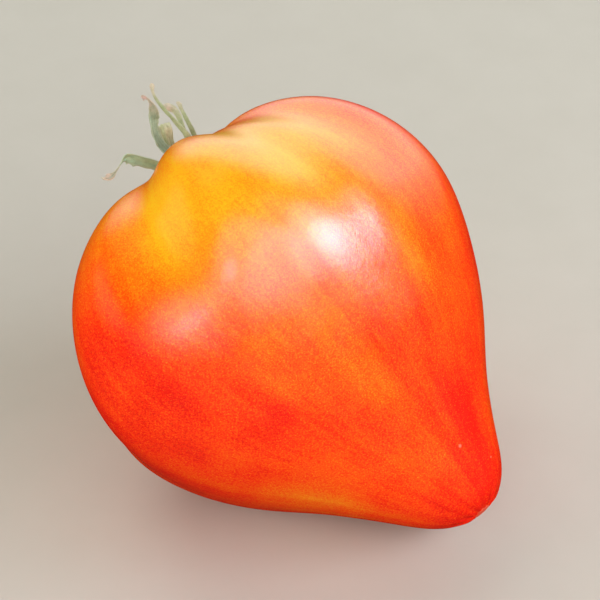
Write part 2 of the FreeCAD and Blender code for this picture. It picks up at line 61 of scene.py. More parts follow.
STEM_AXIS = Vector(joints["calyx_pull"]["axis"])
FRUIT_X = -STEM_AXIS
FRUIT_Y = Vector((0, 1, 0))
FRUIT_Z = FRUIT_X.cross(FRUIT_Y)

# In mm: the corky plug's length and how far it stands out of the peel, and how far the stem
# hollow lies beside and above the fruit's axis.
SCAR_DEPTH = 4.0
SCAR_PROUD = 0.4
STEM_SIDE = 3.5
STEM_RISE = 12.0


def stem_seat():
    """Middle of the stem hollow's floor, which the cork plug passes through."""
    low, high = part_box("stem_scar")
    middle = (low + high) / 2
    return middle + STEM_AXIS * (SCAR_DEPTH - SCAR_PROUD) / 2 * MM


SEAT = stem_seat()
FRUIT_ORIGIN = SEAT + (FRUIT_Y * STEM_SIDE - FRUIT_Z * STEM_RISE) * MM


# ---------------------------------------------------------------- the fruit's form

# Rings of control points: distance from the stem scar and radius in mm, and the shares of
# the furrows' depth, of their pull on the crest and of the oval that the ring shows.
RINGS = [
    (0.0, 2.0, 0.0, 0.0, 0.0),
    (0.0, 6.0, 0.0, 0.0, 0.0),
    (-3.0, 9.5, 0.4, 0.12, 1.0),
    (-5.0, 12.0, 0.8, 0.62, 1.0),
    (-5.5, 22.0, 1.0, 1.0, 1.0),
    (1.5, 36.0, 0.85, 0.38, 1.0),
    (15.0, 46.0, 0.5, 0.0, 1.0),
    (31.0, 48.8, 0.25, 0.0, 1.0),
    (46.0, 42.0, 0.12, 0.0, 1.0),
    (58.0, 33.8, 0.05, 0.0, 1.0),
    (68.0, 23.8, 0.0, 0.0, 0.6),
    (79.0, 15.6, 0.0, 0.0, 0.3),
    (90.5, 7.8, 0.0, 0.0, 0.0),
    (90.5, 1.2, 0.0, 0.0, 0.0),
]
# Furrows between the lobes: degrees around the axis and depth as a share of the radius.
FURROWS = [(0.5, 0.24), (25.0, 0.24), (90.0, 0.14), (138.0, 0.14), (198.0, 0.14), (241.0, 0.30),
           (309.5, 0.23)]
FURROW_WIDTH = 13.5       # half width in degrees
FURROW_SINK = 8.0         # mm that the crest sinks there, to be multiplied by the depth
FRUIT_LENGTH = 90.5       # mm from the stem scar to the nose
NOSE_SIDE = 11.0          # mm that the nose leans sideways and droops
NOSE_DROOP = 6.0
STEM_BEND = 0.45          # share of the length over which the stem end bends away
OVAL = 0.02               # share by which the fruit is lower than round, and wider
CONTROL_COLUMNS = 36
SKIN_ROWS = 240
SKIN_COLUMNS = 360
SETTLED_EDGE = 0.5        # how softly the flat that it lies on meets the belly, in mm
MERGE_DISTANCE = 1e-7     # metres


def nearest_turn(angle, place):
    """Signed degrees from a place around the axis to an angle."""
    return (angle - place + 180.0) % 360.0 - 180.0


def furrow_depth(angle):
    """Depth of all furrows together at an angle, as a share of the radius."""
    depth = 0.0
    for place, share in FURROWS:
        depth += share * math.exp(-(nearest_turn(angle, place) / FURROW_WIDTH) ** 2)
    return depth


def axis_offset(along):
    """Sideways and upward offset of the fruit's bent axis."""
    nose_share = (max(0.0, along) / FRUIT_LENGTH) ** 2
    stem_share = max(0.0, 1.0 - along / (STEM_BEND * FRUIT_LENGTH))
    side = NOSE_SIDE * nose_share - STEM_SIDE * stem_share
    rise = STEM_RISE * stem_share - NOSE_DROOP * nose_share
    return side, rise


def control_rings():
    """Control points of the peel, ring by ring from the stem to the nose."""
    rings = np.zeros((len(RINGS), CONTROL_COLUMNS, 3))
    for row, (along, radius, lobe, sink, oval) in enumerate(RINGS):
        side, rise = axis_offset(along)
        for column in range(CONTROL_COLUMNS):
            angle = 360.0 * column / CONTROL_COLUMNS
            turn = math.radians(angle)
            depth = furrow_depth(angle)
            reach = radius * (1.0 - lobe * depth) * (1.0 - OVAL * oval * math.cos(2.0 * turn))
            sunk = along + FURROW_SINK * sink * depth
            rings[row, column] = (sunk, reach * math.sin(turn) + side, reach * math.cos(turn) + rise)
    return rings


TINY = 1e-9               # keeps a share below 1 and a step above 0


def clamped_basis(count, shares):
    """Weights of count control points of a cubic curve with clamped ends."""
    degree = 3
    inner = np.linspace(0.0, 1.0, count - degree + 1)
    knots = np.concatenate([[0.0] * degree, inner, [1.0] * degree])
    shares = np.minimum(shares, 1.0 - TINY)
    spans = zip(knots, knots[1:])
    weights = [((low <= shares) & (shares < high)).astype(float) for low, high in spans]
    for step in range(1, degree + 1):
        raised = []
        for i in range(len(weights) - 1):
            rise = max(knots[i + step] - knots[i], TINY)
            fall = max(knots[i + step + 1] - knots[i + 1], TINY)
            left = (shares - knots[i]) / rise * weights[i]
            right = (knots[i + step + 1] - shares) / fall * weights[i + 1]
            raised.append(left + right)
        weights = raised
    return np.stack(weights, axis=1)


def closed_basis(count, turns):
    """Weights of count control points of a cubic curve that closes on itself."""
    weights = np.zeros((len(turns), count))
    first = np.floor(turns * count).astype(int)
    t = turns * count - first
    pulls = [
        (1 - t) ** 3 / 6,
        (3 * t ** 3 - 6 * t ** 2 + 4) / 6,
        (3 * t + 3 * t ** 2 - 3 * t ** 3 + 1) / 6,
        t ** 3 / 6,
    ]
    for step, pull in enumerate(pulls):
        weights[np.arange(len(turns)), (first + step - 1) % count] += pull
    return weights


def peel_grid():
    """Points of the peel in the fruit's own frame, rows from the stem and columns around."""
    rows = clamped_basis(len(RINGS), np.linspace(0.0, 1.0, SKIN_ROWS + 1))
    columns = closed_basis(CONTROL_COLUMNS, np.linspace(0.0, 1.0, SKIN_COLUMNS + 1))
    return np.einsum("ri,cj,ijk->rck", rows, columns, control_rings())


def to_row_frame(points):
    """Fruit's own millimetres to metres in the row frame, for an array of points."""
    turn = np.array([FRUIT_X, FRUIT_Y, FRUIT_Z])
    return points @ turn * MM + np.array(FRUIT_ORIGIN)


# ---------------------------------------------------------------- ripeness of the peel

# Ripeness along the fruit, from the stem to the nose: 0 is gold, 1 deep red.
RIPE_ALONG = [(0.0, 0.35), (0.2, 0.42), (0.3, 0.58), (0.4, 0.75), (0.5, 0.84), (0.6, 0.87), (0.7, 0.84),
              (0.78, 0.78), (0.86, 0.78), (0.92, 0.85), (0.96, 0.94), (1.0, 1.0)]
# Patches: degrees around, share of the length, half width in each, and change in ripeness; the one below
# the flank is partly a painted reflection.
RIPENESS_AND_SHEEN_PATCHES = [
    (325, 0.40, 32, 0.11, -0.55),     # gold shoulder
    (10, 0.42, 26, 0.10, -0.55),      # gold top lobe
    (314, 0.43, 13, 0.10, -0.20),     # brightest gold along the long furrow
    (350, 0.50, 22, 0.06, -0.18),     # gold below the top lobe
    (336, 0.60, 27, 0.11, -0.24),     # orange belly
    (331, 0.77, 8, 0.08, -0.10),      # orange streak to the nose
    (9, 0.60, 6, 0.09, -0.12),        # gold streak on the upper side
    (34, 0.60, 13, 0.10, -0.14),      # paler top
    # The next patch is partly the peel's own orange and partly a painted reflection of the floor along
    # the underside.
    (262, 0.80, 20, 0.07, -0.15),     # orange below the flank
    (312, 0.88, 13, 0.04, -0.05),     # paler beside the nose
    (6, 0.87, 16, 0.06, 0.15),        # red streak to the nose
    (279, 0.46, 12, 0.06, 0.14),      # redder flank below the shoulder
    (294, 0.70, 10, 0.06, 0.10),      # redder flank of the belly
    (310, 0.67, 5, 0.04, -0.16),      # paler spot beside it
    (349, 0.76, 12, 0.06, 0.13),      # redder beside the orange streak
    (24, 0.84, 18, 0.07, 0.07),       # redder top of the neck
    (15, 0.57, 16, 0.05, -0.10),      # paler band across the top
    (43, 0.53, 12, 0.06, -0.18),      # paler far edge of the top
    (325, 0.40, 12, 0.08, 0.14),      # the gold shoulder turns orange in its middle
    (261, 0.55, 8, 0.07, 0.12),       # redder low flank
    (8, 0.64, 14, 0.06, -0.12),       # paler top of the belly
    (315, 0.63, 7, 0.04, -0.09),      # paler belly above the flank
    (337, 0.56, 9, 0.04, 0.09),       # redder start of the belly
    (264, 0.84, 16, 0.04, -0.09),     # paler low side of the neck
    (331, 0.92, 13, 0.05, -0.07),     # paler side of the nose
    (300, 0.98, 14, 0.02, -0.07),     # paler tip
    (8, 0.36, 22, 0.035, -0.10),      # paler edge of the hollow
    (75, 0.42, 16, 0.09, -0.42),      # from here on, the far side and the underside
    (112, 0.38, 15, 0.10, -0.34),
    (124, 0.62, 9, 0.14, -0.22),
    (66, 0.74, 8, 0.09, -0.10),
    (168, 0.40, 19, 0.09, -0.46),
    (186, 0.66, 10, 0.12, -0.20),
    (222, 0.36, 14, 0.09, -0.34),
    (214, 0.80, 14, 0.08, -0.12),
    (150, 0.86, 12, 0.06, 0.10),
]


def ripeness_at(angle, share):
    """Ripeness of the peel at an angle and a share of the length."""
    places, values = zip(*RIPE_ALONG)
    ripe = np.interp(share, places, values)
    for place, at, around, along, change in RIPENESS_AND_SHEEN_PATCHES:
        away = nearest_turn(angle, place) / around
        ripe = ripe + change * np.exp(-away ** 2 - ((share - at) / along) ** 2)
    return np.clip(ripe, 0.0, 1.0)


# ---------------------------------------------------------------- fine relief of the peel

# Slow and quick waves over the whole peel: their number to a metre, and height in mm.
PEEL_WAVES = [(75.0, 0.06), (210.0, 0.012)]
# A fine crease along each furrow, deepest near the hollow.
CREASE_WIDTH = 4.5        # half width in degrees
CREASE_DEPTH = 0.10       # depth in mm, in a furrow of this depth
CREASED_FURROW = 0.24
CREASE_STRAYS = (90.0, 2.0)      # bends to a metre, and how far to the side in degrees
CREASE_AT = 0.16          # share of the length, and half width there
CREASE_REACH = 0.06
# Ridges down into the stem hollow, and puckers round the nose.
HOLLOW_RIDGES = 23
HOLLOW_RIDGE_HEIGHT = 0.10
RIDGES_STRAY = (120.0, 2.0)      # bends to a metre, and how far in radians of the ridges' wave
HOLLOW_AT = 0.12
HOLLOW_REACH = 0.06
PUCKERS = 11
PUCKER_HEIGHT = 0.16
PUCKERS_STRAY = (200.0, 3.0)
PUCKER_AT = 0.985
PUCKER_REACH = 0.012
# Small wrinkles beside the nose: degrees around, share, half widths in each, depth in mm.
NOSE_WRINKLES = [
    (304, 0.966, 12, 0.003, 0.22),
    (296, 0.973, 9, 0.0025, 0.16),
    (318, 0.975, 14, 0.003, 0.14),
]


def bell(value, middle, half_width):
    """1 at the middle, falling softly to 0."""
    return math.exp(-((value - middle) / half_width) ** 2)


def waves(point, number, height):
    """Soft uneven waves at a point: their number to a metre, and how far they swing."""
    return height * noise.noise(point * number)


def relief(angle, share, point):
    """Height over the smooth form, in millimetres."""
    turn = math.radians(angle)
    height = sum(waves(point, *kind) for kind in PEEL_WAVES)
    crease = CREASE_DEPTH * bell(share, CREASE_AT, CREASE_REACH)
    for place, depth in FURROWS:
        away = nearest_turn(angle, place + waves(point, *CREASE_STRAYS))
        height -= crease * depth / CREASED_FURROW * bell(away, 0.0, CREASE_WIDTH)
    ridges = math.cos(HOLLOW_RIDGES * turn + waves(point, *RIDGES_STRAY))
    height += HOLLOW_RIDGE_HEIGHT * bell(share, HOLLOW_AT, HOLLOW_REACH) * ridges
    puckers = math.cos(PUCKERS * turn + waves(point, *PUCKERS_STRAY))
    height += PUCKER_HEIGHT * bell(share, PUCKER_AT, PUCKER_REACH) * puckers
    for place, at, around, along, depth in NOSE_WRINKLES:
        height -= depth * bell(nearest_turn(angle, place), 0.0, around) * bell(share, at, along)
    return height


# ---------------------------------------------------------------- materials

# Most values of a noise pattern lie between these.
PATTERN_LOW = 0.3
PATTERN_HIGH = 0.7


def node(tree, kind, inputs=None, **settings):
    """One shader node with its settings; inputs holds values or the sockets that feed it."""
    made = tree.nodes.new(kind)
    for name, value in settings.items():
        setattr(made, name, value)
    for name, value in (inputs or {}).items():
        if isinstance(value, bpy.types.NodeSocket):
            tree.links.new(value, made.inputs[name])
        else:
            made.inputs[name].default_value = value
    return made


def material(name, **sockets):
    """New material, its node tree and its Principled shader with these sockets set."""
    made = bpy.data.materials.new(name)
    made.use_nodes = True
    shader = made.node_tree.nodes["Principled BSDF"]
    for socket, value in sockets.items():
        shader.inputs[socket.replace("_", " ")].default_value = value
    return made, made.node_tree, shader


def ramp(tree, factor, stops):
    """Colour ramp through stops of (place, colour)."""
    made = node(tree, "ShaderNodeValToRGB", {"Fac": factor})
    elements = made.color_ramp.elements
    while len(elements) < len(stops):
        elements.new(0.5)
    for element, (place, colour) in zip(elements, stops):
        element.position = place
        element.color = (*colour, 1.0)
    return made.outputs["Color"]


def maths(tree, operation, first, second=0.0):
    """Sum, product or the like of one or two values or sockets."""
    return node(tree, "ShaderNodeMath", {0: first, 1: second}, operation=operation).outputs[0]


def remap(tree, value, low, high, to_low=0.0, to_high=1.0):
    """Value from one range spread over another, and held at its ends."""
    made = node(tree, "ShaderNodeMapRange",
                {"Value": value, "From Min": low, "From Max": high, "To Min": to_low, "To Max": to_high})
    return made.outputs["Result"]


def mix(tree, share, first, second):
    """Colour between two; each argument is a value or a socket."""
    made = node(tree, "ShaderNodeMix", data_type="RGBA")
    for index, value in ((0, share), (6, first), (7, second)):
        if isinstance(value, bpy.types.NodeSocket):
            tree.links.new(value, made.inputs[index])
        elif index == 0:
            made.inputs[index].default_value = value
        else:
            made.inputs[index].default_value = (*value, 1.0)
    return made.outputs[2]


def grain(tree, where, scale, detail=2.0, roughness=0.5):
    """Noise between 0 and 1."""
    made = node(tree, "ShaderNodeTexNoise", {"Vector": where, "Scale": scale, "Detail": detail,
                                             "Roughness": roughness})
    return made.outputs["Fac"]


def spread(tree, pattern, low, high):
    """Noise pattern spread over the range from low to high."""
    return remap(tree, pattern, PATTERN_LOW, PATTERN_HIGH, low, high)


def place_of(tree):
    """Place on the piece, in metres."""
    return node(tree, "ShaderNodeTexCoord").outputs["Object"]


def stretched(tree, where, scale):
    """Coordinates multiplied by a scale along each axis."""
    return node(tree, "ShaderNodeMapping", {"Vector": where, "Scale": scale}).outputs["Vector"]


def bumped(tree, shader, height, depth):
    """Bump of this depth in metres on the shader."""
    bump = node(tree, "ShaderNodeBump", {"Height": height, "Distance": depth, "Strength": 1.0})
    tree.links.new(bump.outputs["Normal"], shader.inputs["Normal"])


# Colour of the peel by its ripeness.
PEEL_COLOURS = [
    (0.0, (0.96, 0.52, 0.012)),
    (0.22, (0.96, 0.40, 0.008)),
    (0.45, (0.96, 0.22, 0.004)),
    (0.70, (0.96, 0.085, 0.001)),
    (0.88, (0.94, 0.026, 0.001)),
    (1.0, (0.80, 0.008, 0.001)),
]
# How far streaks along the meridians, finer streaks, blotches and cells shift the ripeness.
STREAKS = 0.08
FINE_STREAKS = 0.04
BLOTCHES = 0.07
CELLS = 0.11
# Golden flecks: cells to a metre, the largest fleck's radius as a share of a cell, and how
# strongly they show on peel that counts as gold and as red.
FLECKS = 2900.0
FLECK_SIZE = 0.46
FLECKS_ON_GOLD = 0.34
FLECKS_ON_RED = 0.09
FLECK_COLOUR = (1.0, 0.62, 0.015)
GOLD_RIPENESS = 0.3
RED_RIPENESS = 0.9
# Tiny corky specks by the nose: place in the row frame and radius, in mm.
CORKY_SPECKS = [((48.0, 1.9, 31.5), 0.50), ((50.4, 9.6, 25.0), 0.30)]
CORKY_COLOUR = (0.90, 0.36, 0.22)
SPECK_CORE = 0.4          # share of the radius that is evenly coloured, and how strongly
SPECK_STRENGTH = 0.5
# Sheen and fine bump of the peel: least and most roughness, shares of the pores and of the
# wider dimples in the bump, and its depth in metres.
SMOOTH_PEEL = 0.20
ROUGH_PEEL = 0.25
PORES = 0.22
DIMPLES = 0.3
PEEL_BUMP = 0.0001


def peel_material():
    """Waxy ripe peel: gold to red along its ripeness, streaked towards the nose, flecked with gold."""
    made, tree, shader = material(
        "waxy_peel", Subsurface_Weight=0.12, Subsurface_Radius=(1.0, 0.3, 0.1), Subsurface_Scale=0.003,
        Specular_IOR_Level=1.0)
    where = place_of(tree)
    ripe = node(tree, "ShaderNodeAttribute", attribute_name="ripeness").outputs["Fac"]
    meridian = node(tree, "ShaderNodeAttribute", attribute_name="meridian").outputs["Vector"]

    streaks = grain(tree, stretched(tree, meridian, (5.0, 5.0, 3.5)), 1.0, 3.0, 0.55)
    fine_streaks = grain(tree, stretched(tree, meridian, (24.0, 24.0, 8.0)), 1.0, 3.0, 0.6)
    blotches = grain(tree, where, 85.0, 3.0, 0.55)
    cells = grain(tree, where, 2400.0, 1.0)
    swings = ((streaks, STREAKS), (fine_streaks, FINE_STREAKS), (blotches, BLOTCHES), (cells, CELLS))
    for pattern, swing in swings:
        ripe = maths(tree, "ADD", ripe, spread(tree, pattern, -swing, swing))
    colour = ramp(tree, ripe, PEEL_COLOURS)

    flecks = node(tree, "ShaderNodeTexVoronoi", {"Vector": where, "Scale": FLECKS})
    fleck_size = maths(tree, "MULTIPLY", flecks.outputs["Color"], FLECK_SIZE)
    dots = maths(tree, "LESS_THAN", flecks.outputs["Distance"], fleck_size)
    strength = remap(tree, ripe, GOLD_RIPENESS, RED_RIPENESS, FLECKS_ON_GOLD, FLECKS_ON_RED)
    dots = maths(tree, "MULTIPLY", dots, strength)
    colour = mix(tree, dots, colour, FLECK_COLOUR)
    for place, radius in CORKY_SPECKS:
        away = node(tree, "ShaderNodeVectorMath", {0: where, 1: Vector(place) * MM},
                    operation="DISTANCE").outputs["Value"]
        reach = radius * MM
        speck = remap(tree, away, SPECK_CORE * reach, reach, SPECK_STRENGTH, 0.0)
        colour = mix(tree, speck, colour, CORKY_COLOUR)
    tree.links.new(colour, shader.inputs["Base Color"])

    rough = spread(tree, grain(tree, where, 240.0, 3.0), SMOOTH_PEEL, ROUGH_PEEL)
    tree.links.new(rough, shader.inputs["Roughness"])
    pores = maths(tree, "MULTIPLY", grain(tree, where, 2600.0, 2.0, 0.6), PORES)
    dimples = maths(tree, "MULTIPLY", grain(tree, where, 700.0, 2.0), DIMPLES)
    bumped(tree, shader, maths(tree, "ADD", pores, dimples), PEEL_BUMP)
    return made


LEAF_EDGE_COLOUR = (0.50, 0.54, 0.36)
LEAF_BUMP = 0.00012       # depth of the veins' bump in metres


def dried_leaf_material(name, pale, deep, blush):
    """Dried sepal: grey-green, veined along its length, paler at the edges, blushed at the tip."""
    made, tree, shader = material(name, Roughness=0.75, Specular_IOR_Level=0.3)
    ribbon = node(tree, "ShaderNodeAttribute", attribute_name="ribbon").outputs["Vector"]
    parts = node(tree, "ShaderNodeSeparateXYZ", {"Vector": ribbon})
    along = parts.outputs["X"]
    across = maths(tree, "ABSOLUTE", parts.outputs["Y"])
    veins = grain(tree, stretched(tree, ribbon, (3.0, 14.0, 1.0)), 1.0, 4.0, 0.65)
    mottle = grain(tree, place_of(tree), 900.0, 3.0, 0.6)
    tone = maths(tree, "ADD", maths(tree, "MULTIPLY", veins, 0.6), maths(tree, "MULTIPLY", mottle, 0.4))
    middle = tuple((a + b) / 2 for a, b in zip(deep, pale))
    colour = ramp(tree, tone, [(0.34, deep), (0.5, middle), (0.64, pale)])
    edge = remap(tree, across, 0.6, 1.0, 0.0, 0.5)
    colour = mix(tree, edge, colour, LEAF_EDGE_COLOUR)
    patchy = remap(tree, mottle, 0.4, 0.6, 0.6, 1.0)
    tip = maths(tree, "MULTIPLY", remap(tree, along, 0.60, 0.90), patchy)
    colour = mix(tree, tip, colour, blush)
    tree.links.new(colour, shader.inputs["Base Color"])
    bumped(tree, shader, maths(tree, "ADD", veins, maths(tree, "MULTIPLY", mottle, 0.5)), LEAF_BUMP)
    return made


ROUGHNESS_SWING = 0.08    # how far rough and smooth patches differ from the roughness


def fibrous_material(name, pale, deep, grain_scale, roughness, depth, lengthwise=(1.0, 1.0, 1.0),
                     **sockets):
    """Plain organic stuff: two tones in a stretched grain, with bump and rough patches."""
    made, tree, shader = material(name, **sockets)
    where = stretched(tree, place_of(tree), lengthwise)
    coarse = grain(tree, where, grain_scale, 4.0, 0.6)
    fine = grain(tree, where, grain_scale * 6.0, 3.0, 0.6)
    tone = maths(tree, "ADD", maths(tree, "MULTIPLY", coarse, 0.65), maths(tree, "MULTIPLY", fine, 0.35))
    colour = ramp(tree, tone, [(0.36, deep), (0.62, pale)])
    rough = spread(tree, fine, roughness - ROUGHNESS_SWING, roughness + ROUGHNESS_SWING)
    tree.links.new(colour, shader.inputs["Base Color"])
    tree.links.new(rough, shader.inputs["Roughness"])
    bumped(tree, shader, tone, depth)
    return made


def floor_material():
    """Pale paper, very slightly cloudy."""
    made, tree, shader = material("pale_paper", Roughness=0.9, Specular_IOR_Level=0.2)
    tone = grain(tree, place_of(tree), 40.0, 4.0, 0.6)
    colour = ramp(tree, tone, [(0.3, (0.49, 0.48, 0.41)), (0.7, (0.51, 0.50, 0.43))])
    tree.links.new(colour, shader.inputs["Base Color"])
    return made


# ---------------------------------------------------------------- pieces

def finished(name, bm, made_of, body, replaced):
    """Turns a bmesh into a smooth piece that rides on its body and stands for its nodes."""
    mesh = bpy.data.meshes.new(name)
    bm.to_mesh(mesh)
    bm.free()
    mesh.shade_smooth()
    mesh.materials.append(made_of)
    piece = bpy.data.objects.new(name, mesh)
    bpy.context.scene.collection.objects.link(piece)
    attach(piece, body)
    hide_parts(*replaced)
    return piece


def tomato_skin():
    """The peel: a sheet wrapped round the bent axis, closed under both scars, flat where it lies."""
    bm = bmesh.new()
    bmesh.ops.create_grid(bm, x_segments=SKIN_ROWS, y_segments=SKIN_COLUMNS, size=0.5)
    ripeness = bm.verts.layers.float.new("ripeness")
    meridian = bm.verts.layers.float_vector.new("meridian")
    points = to_row_frame(peel_grid())
    for vert in bm.verts:
        share = vert.co.x + 0.5
        angle = (vert.co.y + 0.5) * 360.0
        turn = math.radians(angle)
        vert[ripeness] = ripeness_at(angle, share)
        vert[meridian] = (math.cos(turn), math.sin(turn), share)
        vert.co = Vector(points[round(share * SKIN_ROWS), round(angle / 360.0 * SKIN_COLUMNS)])
    bmesh.ops.remove_doubles(bm, verts=bm.verts, dist=MERGE_DISTANCE)
    bmesh.ops.recalc_face_normals(bm, faces=bm.faces)
    bm.normal_update()
    for vert in bm.verts:
        cosine, sine, share = vert[meridian]
        angle = math.degrees(math.atan2(sine, cosine))
        vert.co += vert.normal * relief(angle, share, vert.co) * MM
        vert.co.z = (vert.co.z + math.hypot(vert.co.z, SETTLED_EDGE * MM)) / 2
    rims = [edge for edge in bm.edges if edge.is_boundary]
    caps = bmesh.ops.holes_fill(bm, edges=rims, sides=0)["faces"]
    bmesh.ops.poke(bm, faces=caps)
    return finished("tomato_skin", bm, peel_material(), "fruit", ["skin"])


# ---------------------------------------------------------------- calyx

# Each dried sepal's route from its root in millimetres: along the stem axis, outwards,
# around, half width there, and twist in degrees.
SEPALS = [
    # broad blade that breaks off into a thread with a curled tip
    [(2.0, 0.2, 0.8, 1.5, 0), (4.2, 0.8, 1.5, 1.4, 0), (7.0, 2.0, 1.0, 1.35, 0),
     (10.1, 4.0, -0.9, 1.3, 0), (11.6, 5.5, -1.9, 1.35, 0), (12.0, 5.9, -2.3, 1.1, 0),
     (11.8, 6.3, -2.9, 0.1, 0), (11.2, 7.1, -4.2, 0.12, 0), (10.6, 8.3, -5.6, 0.2, 40),
     (10.3, 9.3, -6.4, 1.0, 60), (10.8, 10.0, -7.2, 1.2, 80), (11.4, 9.9, -7.6, 0.5, 120)],
    # upright blade with a crumpled top
    [(1.6, 0.4, 0.0, 1.5, 0), (3.5, 0.8, 0.1, 1.6, 0), (6.5, 0.3, 0.2, 1.5, 0),
     (10.6, 0.1, 0.2, 1.35, 10), (12.8, 1.1, 0.0, 1.5, 20), (14.3, 2.8, 0.2, 1.2, 0),
     (15.2, 4.6, 0.4, 1.4, -30), (16.2, 7.3, 0.2, 1.0, -60), (17.8, 8.2, 0.0, 0.2, -60),
     (18.8, 8.0, -0.2, 0.25, -60), (19.4, 7.4, -0.3, 0.9, -60), (19.2, 7.0, 0.0, 0.4, -100)],
    # longest, narrow ribbon with a knob
    [(2.0, 1.6, -2.0, 1.2, 0), (4.2, 3.6, -3.5, 1.0, 50), (6.3, 4.1, -5.3, 0.8, 80),
     (10.0, 4.3, -5.5, 0.6, 80), (13.4, 4.3, -5.5, 0.5, 80), (16.7, 4.3, -5.5, 0.45, 80),
     (19.2, 4.6, -5.5, 0.35, 80), (20.4, 5.3, -5.9, 0.3, 80), (21.0, 5.8, -6.2, 0.7, 100),
     (21.2, 6.2, -6.0, 0.35, 150)],
    # shorter narrow ribbon with a knob
    [(3.0, 1.2, -2.6, 1.0, 0), (6.3, 2.4, -6.0, 0.75, 20), (11.0, 3.1, -7.2, 0.55, 40),
     (14.2, 3.8, -7.5, 0.4, 50), (15.8, 4.0, -8.0, 0.3, 60), (16.6, 4.4, -8.1, 0.8, 80),
     (16.8, 4.6, -7.8, 0.4, 120)],
    # arched over the stalk
    [(2.2, 0.0, -2.4, 1.2, 0), (5.0, -0.4, -5.4, 0.8, 0), (8.1, -0.5, -7.6, 0.6, 0),
     (11.3, 0.0, -9.1, 0.5, 0), (14.8, 0.6, -10.5, 0.5, 0), (17.2, 1.0, -11.4, 0.75, 0),
     (19.1, 1.0, -11.2, 0.95, 0), (19.9, 0.4, -10.2, 0.85, 0), (19.8, 0.0, -9.2, 0.3, 20)],
    # two short ones low in the hollow
    [(1.6, 1.4, 0.0, 1.4, 0), (3.5, 3.0, 0.0, 1.3, 0), (6.5, 4.0, 0.5, 1.0, 10),
     (8.5, 3.0, 1.0, 0.5, 20)],
    [(0.8, 1.0, 0.0, 1.3, 0), (1.5, 2.0, 0.0, 1.2, 0), (3.2, 3.0, -0.5, 0.9, 10),
     (4.2, 2.6, -1.0, 0.5, 20)],
]
ROOT_HALF_WIDTH = 1.5     # mm, as is the thickness
SEPAL_THICKNESS = 0.22
SEPAL_STEPS = 110
SEPAL_ACROSS = 10
# The blade's shape over its flat ribbon, as shares of the half width.
CURL = 0.35               # edges curl up
RIPPLE = 0.3              # height of the slow waves
FLUTTER = 0.25            # height of the quick waves of the edges
MIDRIB = 0.10             # depth of the midrib's fold, and its half width
MIDRIB_WIDTH = 0.16
DROOP = 0.2               # the blade's middle hangs below its route
RAGGED = 0.22             # how uneven the outline is
TAPER_IN = 0.12           # the curl draws the edges in
STIFF_ROOTS = 5.0         # the waves grow from the root over a fifth of the length
# How quickly the waves change along a blade, across it, and from sepal to sepal.
RIPPLE_RATES = (9.0, 1.5, 7.3)
FLUTTER_RATES = (22.0, 3.0, 3.1)
VEIN_SHIFT = 0.37         # moves the pattern of the veins from sepal to sepal


def smooth_through(controls, steps):
    """Rows of a cubic curve through the hull of these control rows."""
    weights = clamped_basis(len(controls), np.linspace(0.0, 1.0, steps + 1))
    return weights @ np.array(controls, float)


def sepal_frame(number):
    """Root, outward and sideways directions of a sepal, from the joint that it flexes on."""
    joint = joints["sepal_%d_flex" % number]
    sideways = Vector(joint["axis"])
    outwards = STEM_AXIS.cross(sideways)
    return Vector(joint["pos_m"]), outwards, sideways


def ribbon_noise(share, edge, number, rates):
    """Soft noise over a blade: share of its length, edge from -1 to 1, and the sepal's number."""
    along, across, between = rates
    return noise.noise(Vector((share * along, edge * across, number * between)))


def sepal(number, route, leaf):
    """Cupped, wavy dried ribbon along its route."""
    root, outwards, sideways = sepal_frame(number)
    controls = [(0.0, 0.0, 0.0, ROOT_HALF_WIDTH, 0)] + route
    rows = smooth_through(controls, SEPAL_STEPS)
    spine = [root + (STEM_AXIS * a + outwards * o - sideways * s) * MM for a, o, s, _, _ in rows]
    bm = bmesh.new()
    bmesh.ops.create_grid(bm, x_segments=SEPAL_STEPS, y_segments=SEPAL_ACROSS, size=0.5)
    ribbon = bm.verts.layers.float_vector.new("ribbon")
    frames = []
    across = sideways
    for step in range(SEPAL_STEPS + 1):
        heading = (spine[min(step + 1, SEPAL_STEPS)] - spine[max(step - 1, 0)]).normalized()
        across = (across - heading * across.dot(heading)).normalized()
        twist = Matrix.Rotation(math.radians(rows[step][4]), 3, heading)
        frames.append((twist @ across, twist @ heading.cross(across)))
    for vert in bm.verts:
        step = round((vert.co.x + 0.5) * SEPAL_STEPS)
        share = step / SEPAL_STEPS
        edge = vert.co.y * 2.0
        half = rows[step][3] * MM
        side, up = frames[step]
        ripple = ribbon_noise(share, edge, number, RIPPLE_RATES)
        flutter = ribbon_noise(share, edge, number, FLUTTER_RATES)
        free = min(1.0, share * STIFF_ROOTS)
        cup = CURL * edge * edge + (RIPPLE * ripple + FLUTTER * flutter * abs(edge)) * free
        rib = MIDRIB * bell(edge, 0.0, MIDRIB_WIDTH)
        reach = edge * (1.0 + RAGGED * flutter * free) * (1.0 - TAPER_IN * edge * edge)
        vert[ribbon] = (share, edge, number * VEIN_SHIFT)
        vert.co = spine[step] + side * half * reach + up * half * (cup - rib - DROOP)
    bmesh.ops.recalc_face_normals(bm, faces=bm.faces)
    name = "sepal_%d" % number
    piece = finished("dried_" + name, bm, leaf, name, [name])
    wall = piece.modifiers.new("leaf_thickness", "SOLIDIFY")
    wall.thickness = SEPAL_THICKNESS * MM
    wall.offset = 0.0
    return piece


